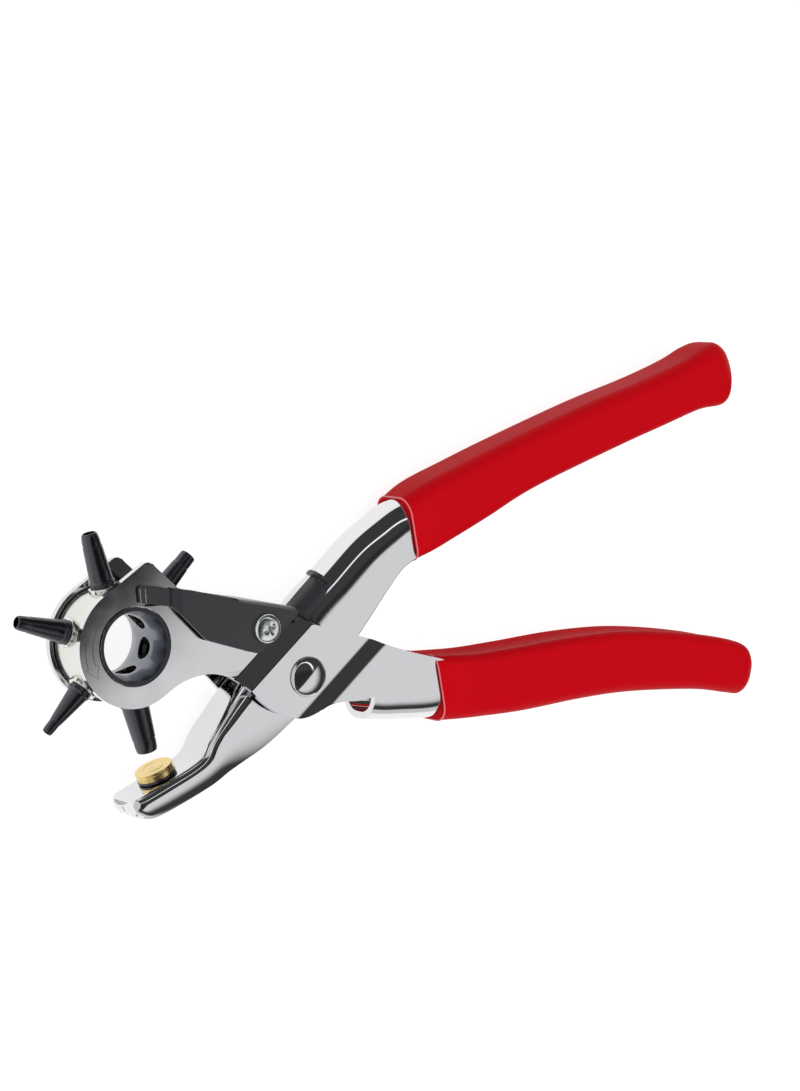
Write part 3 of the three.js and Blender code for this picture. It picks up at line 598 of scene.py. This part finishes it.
def tube(size, root, shoulder, degrees):
    """Screwed-in punch tube on its seat ring, with a rounded nose and a sharp open end."""
    cut = size / 2
    seat = DRUM_RADIUS + TUBE_SEAT
    shank = 2.6
    round_from = TUBE_REACH - TUBE_NOSE
    profile = [(cut, 9.0), (shank, 9.0), (shank, seat), (root + 0.25, seat),
               (root + 0.3, seat + 1.1), (root, seat + 1.5), (root, seat + 1.8),
               (shoulder + 0.12, round_from - 0.3), (shoulder, round_from - 0.15),
               (shoulder, round_from)]
    nose = cut + 0.22
    for k in range(1, 8):
        a = math.pi / 2 * k / 7
        profile.append((nose + (shoulder - nose) * math.cos(a),
                        round_from + (TUBE_NOSE - 0.15) * math.sin(a)))
    profile += [(cut + 0.05, TUBE_REACH), (cut, TUBE_REACH - 0.1), (cut, TUBE_REACH - 5)]
    label = f"{size:.1f}".replace(".", "_")
    body = mesh_object(f"tube_{label}", lathe(profile, about_radial(degrees), 56))
    finish(body, TUBE, "turret", [f"punch_tube_{label}"], 0.1, 25)
    ring = [(2.7, DRUM_RADIUS - 0.5), (3.7, DRUM_RADIUS - 0.5), (3.7, seat - 0.05),
            (2.7, seat - 0.05)]
    base = mesh_object(f"tube_seat_{label}", lathe(ring, about_radial(degrees), 56))
    finish(base, NICKEL, "turret", (), 0.12, 25)


drum()
TUBES = [(3.5, 2.6, 2.05), (3.0, 2.9, 2.3), (2.5, 2.8, 1.95), (2.0, 2.6, 1.4), (4.5, 3.4, 2.8),
         (4.0, 3.2, 2.6)]                    # hole size, radius at the root, at the nose
for index, (hole_size, root_radius, nose_radius) in enumerate(TUBES):
    tube(hole_size, root_radius, nose_radius, TUBE_PHASE + 60 * index)


# ------------------------------------------------------------------ anvil, pivot, screw

def turned(name, profile, axis, surface, body, nodes, bevel, segments=72):
    obj = mesh_object(name, lathe(profile, axis, segments))
    return finish(obj, surface, body, nodes, bevel, 25)


turned("anvil_pad", [(0, -2.6), (ANVIL_RADIUS, -2.0), (ANVIL_RADIUS, -0.75),
                     (ANVIL_RADIUS - 0.16, -0.65), (ANVIL_RADIUS - 0.16, -0.5),
                     (ANVIL_RADIUS, -0.4), (ANVIL_RADIUS, 0), (2.9, 0), (2.85, -0.07),
                     (2.7, -0.07), (2.65, 0), (0, 0)], on_seat, BRASS, "arm",
       ["brass_anvil"], 0.14)
turned("anvil_ring", [(1.6, -2.65), (ANVIL_RADIUS + 0.1, -2.65), (ANVIL_RADIUS + 0.1, -2.02),
                      (1.6, -2.02)], on_seat, TUBE, "arm",
       ["anvil_washer"], 0.1)


def rivet():
    top = PIVOT_OUTER + 0.05
    crown = HALF_THICKNESS + 0.1
    profile = [(0, -HALF_THICKNESS), (RIVET_HEAD - 0.4, -HALF_THICKNESS),
               (RIVET_HEAD, -HALF_THICKNESS + 0.4), (RIVET_HEAD, -top), (2.6, -top), (2.6, top),
               (RIVET_HEAD, top)]
    for k in range(1, 13):
        a = math.pi / 2 * k / 12
        profile.append((RIVET_HEAD * math.cos(a), top + 0.15 + (crown - top - 0.15) * math.sin(a)))
    profile[-1] = (0, crown)
    turned("rivet", profile, about_z((0, 0)), RIVET, "frame",
           ["pivot_rivet"], 0.1)


def screw():
    seat = CHEEK_OUTER + 0.05
    top = HALF_THICKNESS + 0.35
    profile = [(0, 1 - HALF_THICKNESS), (1.8, 1 - HALF_THICKNESS), (1.8, seat), (SCREW_HEAD, seat),
               (SCREW_HEAD, top - 0.75), (3.5, top - 0.42), (3.1, top - 0.18), (2.6, top - 0.05),
               (2.0, top), (0, top)]
    body = mesh_object("screw", lathe(profile, about_z(SCREW), 64))
    for turn in (35, 125):
        a = math.radians(turn)
        u, v = (math.cos(a), math.sin(a)), (-math.sin(a), math.cos(a))

        def rim_highlight(z, length, width):
            return [(SCREW[0] + u[0] * i * length + v[0] * j * width,
                     SCREW[1] + u[1] * i * length + v[1] * j * width, z)
                    for i, j in ((-1, -1), (1, -1), (1, 1), (-1, 1))]
        cutter = mesh_object("cutter", loft([rim_highlight(top - 0.9, 1.0, 0.3), rim_highlight(top + 0.4, 2.3, 0.5)]))
        combined(body, cutter, "DIFFERENCE")
    finish(body, ZINC, "frame", ["bracket_screw"], 0.06, 35)


rivet()
screw()
HEX = [polar(SCREW, SCREW_HEAD, 60 * n) for n in range(6)]
nut = mesh_object("nut", loft([[(x, y, z) for x, y in HEX]
                               for z in (-HALF_THICKNESS, -CHEEK_OUTER - 0.05)]))
finish(nut, ZINC, "frame", ["bracket_nut"], 0.2, 30)


def return_spring():
    points = []
    turns, radius, rise, steps = 2.9, SPRING_RADIUS, 4.6, 120
    for i in range(steps + 1):
        a = math.radians(142) + 2 * math.pi * turns * i / steps
        points.append((radius * math.cos(a), radius * math.sin(a), rise * (i / steps - 0.5)))
    first, last = points[0], points[-1]
    points.insert(0, (first[0] + 2.0, first[1] + 2.4, first[2]))
    points.insert(0, (first[0] + 8.2, first[1] + 9.6, first[2]))
    points.append((last[0] + 4, last[1] + 0.6, last[2]))
    points.append((last[0] + 13, last[1] - 3.2, last[2]))
    spring = line_object("spring_wire", points, SPRING_WIRE / 2)
    assign(spring, SPRING, "frame", ["return_spring"])


return_spring()
for node in ("pivot_bush", "pivot_washer_near", "pivot_washer_far", "bracket_sleeve",
             "latch_pin"):
    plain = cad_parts[node].data.materials
    plain.clear()
    plain.append(PLAIN)


# ------------------------------------------------------------------ bracket and leaf

CHEEK = [(-38.6, 24.5), (-38.6, 20.2), (-29.7, 11.6), (-28.9, 11.1), (-28.0, 10.8),
         (-27.2, 10.6), (-15.2, 7.0), (-14.0, 7.1), (-13.1, 7.7), (-3.3, 15.8), (-3.0, 16.8),
         (-19.6, 20.0), (-24.0, 21.6), (-33.6, 23.8)]
WEB_LINE = [(-19.6, 20.7), (-13.0, 19.6), (-7.5, 18.6), (-3.0, 17.6)]


def bracket():
    def level(x, y):
        return CHEEK_OUTER - 0.95 * (1 - ramp_between((x + 38.6) / 2.6))

    cuts = [(Vector((-38.6 + 0.26 * n, 0, 0)), Vector((1, 0, 0))) for n in range(1, 11)]
    near = sheet(CHEEK, [], level, CHEEK_OUTER - CHEEK_INNER, cuts)
    body = mesh_object("bracket", near)
    far = mesh_object("bracket_far", mirrored(near))
    section = channel_outline(3.4, CHEEK_OUTER - 0.03, 2.1, 1.04, 6, tip=0.02)
    web = mesh_object("bracket_web", loft(
        [[(x, y - d, z) for d, z in section] for x, y in spline(WEB_LINE, 4)]))
    combined(body, web, "UNION")
    combined(body, far, "UNION")
    finish(body, BLACK, "frame", ["index_bracket"], 0.16, 40)


def leaf():
    outline = [(-35.2, 20.6), (-39.0, 20.0), (-47.2, 21.4), (-47.6, 24.4), (-47.5, 25.1),
               (-46.6, 25.6), (-41.0, 24.9), (-35.2, 23.2)]
    low = HEAD_OUTER + GAP
    body = mesh_object("leaf", sheet(outline, [], lambda x, y: low + LEAF_SHEET, LEAF_SHEET))
    nose = [(-44.8, 20.9), (-41.6, 20.9), (-41.6, 24.3), (-44.8, 24.3)]
    dip = mesh_object("leaf_nose", sheet(nose, [], lambda x, y: low + 0.2, 2.5))
    combined(body, dip, "UNION")
    finish(body, BLACK, "index", ["index_spring"], 0.12, 40)
    top = low + LEAF_SHEET - 0.01
    # pale zinc lines on the flat leaf: painted highlights standing for the light on its folds
    for x in LEAF_FOLD_HIGHLIGHTS:
        fold = line_object("leaf_fold_highlight", [(x + 0.3, 21.2, top), (x, 24.7, top)], 0.09)
        assign(fold, ZINC, "index")


bracket()
leaf()


# ------------------------------------------------------------------ latch

TAB_RIM = [(2.0, 6.6), (0.9, 6.9), (-0.6, 6.2), (-1.7, 4.4), (-2.0, 2.2), (-1.5, 0.6),
           (-0.6, 0.2), (-0.4, 1.6)]


def latch():
    """Strap round the arm's bend, folded up as a thumb tab, with an eye on the hidden pin."""
    along, down, start = (0.74, 0.673), (0.673, -0.74), (1.75, 19.5)
    foot, rear = -4.0, 7.4
    inner = ARM_BEND + 0.15
    outer = inner + LATCH_SHEET
    c = ARM_OUTER - ARM_BEND

    def at(step, depth, z):
        return (start[0] + along[0] * step + down[0] * depth,
                start[1] + along[1] * step + down[1] * depth, z)
    rings = []
    for i in range(9):
        t = i / 8
        low, high = 13 + 19 * t, 74 + 2 * t
        section = (corner(ARM_BEND, c, outer, low, high, 14)
                   + corner(ARM_BEND, c, inner, high, low, 14))
        rings.append([at(foot + (rear - foot) * t, d, z) for d, z in section])
    body = mesh_object("latch", loft(rings))
    seat = ARM_BEND - outer * math.sin(math.radians(13)) - 0.4
    eye = arc(LATCH_PIN, 2.7, 165, 400, 20) + [at(-2.6, seat, 0)[:2], at(foot, seat, 0)[:2]]
    plate = sheet(eye, [], lambda x, y: ARM_OUTER + GAP + LATCH_SHEET, LATCH_SHEET)
    combined(body, mesh_object("latch_eye", plate), "UNION")
    tab = mesh_object("latch_tab", loft(
        [[at(t, d, z) for d, z in TAB_RIM] for t in (rear - LATCH_SHEET, rear)]))
    combined(body, tab, "UNION")
    finish(body, BLACK, "latch", ["handle_latch"], 0.14, 40)


latch()


# ------------------------------------------------------------------ engraved arrow

def arrow():
    """Curved block arrow beside the turret, as one thin closed line."""
    outer = arc(TURRET, 13.6, 148, 200, 14)
    inner = arc(TURRET, 11.6, 200, 148, 14)
    barb_out = polar(TURRET, 14.4, 200)
    barb_in = polar(TURRET, 10.8, 200)
    tip = polar(TURRET, 12.5, 215)
    outline = [*outer, barb_out, tip, barb_in, *inner]
    mark = line_object("arrow_mark", [(x, y, HEAD_OUTER - 0.03) for x, y in outline], 0.11, True)
    assign(mark, ENGRAVED, "frame")


arrow()


# ------------------------------------------------------------------ stage, lights, camera

def floor():
    mesh = bpy.data.meshes.new("floor")
    size = 3.0
    mesh.from_pydata([(-size, -size, 0), (size, -size, 0), (size, size, 0), (-size, size, 0)],
                     [], [(0, 1, 2, 3)])
    obj = bpy.data.objects.new("floor", mesh)
    bpy.context.scene.collection.objects.link(obj)
    made = material("floor", (0.30, 0.30, 0.30), 0, 0.75, 0.05, 30)
    shader = made.node_tree.nodes["Principled BSDF"]
    shader.inputs["Specular IOR Level"].default_value = 0.1
    shader.inputs["Emission Color"].default_value = (1, 1, 1, 1)
    shader.inputs["Emission Strength"].default_value = 0.82
    mesh.materials.append(made)


def area_light(name, where, size, power):
    """A soft square light aimed at the origin; the chrome doesn't mirror it."""
    data = bpy.data.lights.new(name, "AREA")
    data.shape = "SQUARE"
    data.size = size
    data.energy = power
    lamp = bpy.data.objects.new(name, data)
    lamp.location = where
    lamp.rotation_euler = (-Vector(where)).to_track_quat("-Z", "Y").to_euler()
    lamp.visible_glossy = False
    bpy.context.scene.collection.objects.link(lamp)


def ramp_node(nodes, stops):
    ramp = nodes.new("ShaderNodeValToRGB")
    elements = ramp.color_ramp.elements
    while len(elements) < len(stops):
        elements.new(0.5)
    for element, (position, value) in zip(elements, stops):
        element.position = position
        element.color = (value, value, value * 1.03, 1)
    return ramp


def smooth_step(nodes, links, value, low, high):
    step = nodes.new("ShaderNodeMapRange")
    step.interpolation_type = "SMOOTHSTEP"
    step.inputs["From Min"].default_value = low
    step.inputs["From Max"].default_value = high
    links.new(value, step.inputs["Value"])
    return step.outputs["Result"]


def joined_values(nodes, links, operation, first, second):
    node = nodes.new("ShaderNodeMath")
    node.operation = operation
    links.new(first, node.inputs[0])
    links.new(second, node.inputs[1])
    return node.outputs["Value"]


def blended(nodes, links, factor, base, over):
    """From base to over as factor rises; over is a socket or a fixed colour."""
    mix = nodes.new("ShaderNodeMix")
    mix.data_type = "RGBA"
    links.new(factor, mix.inputs["Factor"])
    links.new(base, mix.inputs["A"])
    if isinstance(over, tuple):
        mix.inputs["B"].default_value = over
    else:
        links.new(over, mix.inputs["B"])
    return mix.outputs["Result"]


# Light tent: each pair is where a part fades in, in components of the view direction.
DARK = 0.05
STRIP = 1.5
STRIP_BAND = (0.80, 0.82)
REAR_WALL = (0.0, 0.2)
PANEL_SIDE = (0.580, 0.615)
PANEL_HEIGHT = (0.52, 0.79)
PANEL_COLOR = (0.86, 0.86, 0.87, 1)
LEFT_SIDE = (-0.45, -0.60)
NEAR_SIDE = (-0.62, -0.72)
NEAR_HEIGHT = (0.38, 0.28)
SIDE_COLOR = (0.74, 0.74, 0.75, 1)


def studio_world():
    """A light tent: dark walls, a strip light on the +Y side, a soft panel and two pale sides."""
    world = bpy.data.worlds.new("studio")
    world.use_nodes = True
    nodes, links = world.node_tree.nodes, world.node_tree.links
    coords = nodes.new("ShaderNodeTexCoord")
    split = nodes.new("ShaderNodeSeparateXYZ")
    links.new(coords.outputs["Generated"], split.inputs["Vector"])
    x, y, z = (split.outputs[name] for name in "XYZ")

    def step(value, edges):
        return smooth_step(nodes, links, value, *edges)

    low, high = STRIP_BAND
    rear = ramp_node(nodes, [(0.0, 0.5), (0.03, DARK), (low - 0.02, DARK), (low, STRIP),
                             (high, STRIP), (high + 0.02, DARK), (1.0, 0.06)])
    front = ramp_node(nodes, [(0.0, 0.35), (0.03, DARK), (0.62, DARK), (0.72, 0.07),
                              (0.85, 0.03), (1.0, 0.03)])
    for ramp in (rear, front):
        links.new(z, ramp.inputs["Fac"])
    walls = blended(nodes, links, step(y, REAR_WALL), front.outputs["Color"],
                    rear.outputs["Color"])
    side = nodes.new("ShaderNodeVectorMath")
    side.operation = "DOT_PRODUCT"
    side.inputs[1].default_value = (1, -1, 0)
    links.new(coords.outputs["Generated"], side.inputs[0])
    panel = joined_values(nodes, links, "MULTIPLY", step(side.outputs["Value"], PANEL_SIDE),
                          step(z, PANEL_HEIGHT))
    near = joined_values(nodes, links, "MULTIPLY", step(y, NEAR_SIDE), step(z, NEAR_HEIGHT))
    sides = joined_values(nodes, links, "MAXIMUM", step(x, LEFT_SIDE), near)
    lit = blended(nodes, links, panel, walls, PANEL_COLOR)
    tent = blended(nodes, links, sides, lit, SIDE_COLOR)
    links.new(tent, nodes["Background"].inputs["Color"])
    bpy.context.scene.world = world


CAMERA_TARGET = (-2.551, 5.452, 12.1)        # in the row frame, mm
CAMERA_AWAY = (-0.54958, 0.09237, 0.83032)   # from the target to the camera
CAMERA_RIGHT = (0.83389, 0, 0.55194)
CAMERA_DISTANCE = 0.8
CAMERA_LENS = 102.16


def camera():
    lookat = Vector(CAMERA_TARGET) * MM
    away = Vector(CAMERA_AWAY)
    right = Vector(CAMERA_RIGHT)
    up = away.cross(right)
    data = bpy.data.cameras.new("camera")
    data.lens = CAMERA_LENS
    data.sensor_width = 36
    data.clip_start = 0.01
    data.clip_end = 50
    obj = bpy.data.objects.new("camera", data)
    spot = lookat + away * CAMERA_DISTANCE
    obj.matrix_world = Matrix.Translation(spot) @ Matrix(
        (right, up, away)).transposed().to_4x4()
    bpy.context.scene.collection.objects.link(obj)
    bpy.context.scene.camera = obj


floor()
area_light("key", (-0.5, -0.7, 1.3), 1.2, 13)
area_light("fill", (0.9, 0.6, 1.2), 1.4, 10)
area_light("top", (-0.2, 0.3, 1.6), 1.6, 10)
studio_world()
camera()
bpy.context.scene.view_settings.view_transform = "Standard"
bpy.context.scene.view_settings.look = "None"
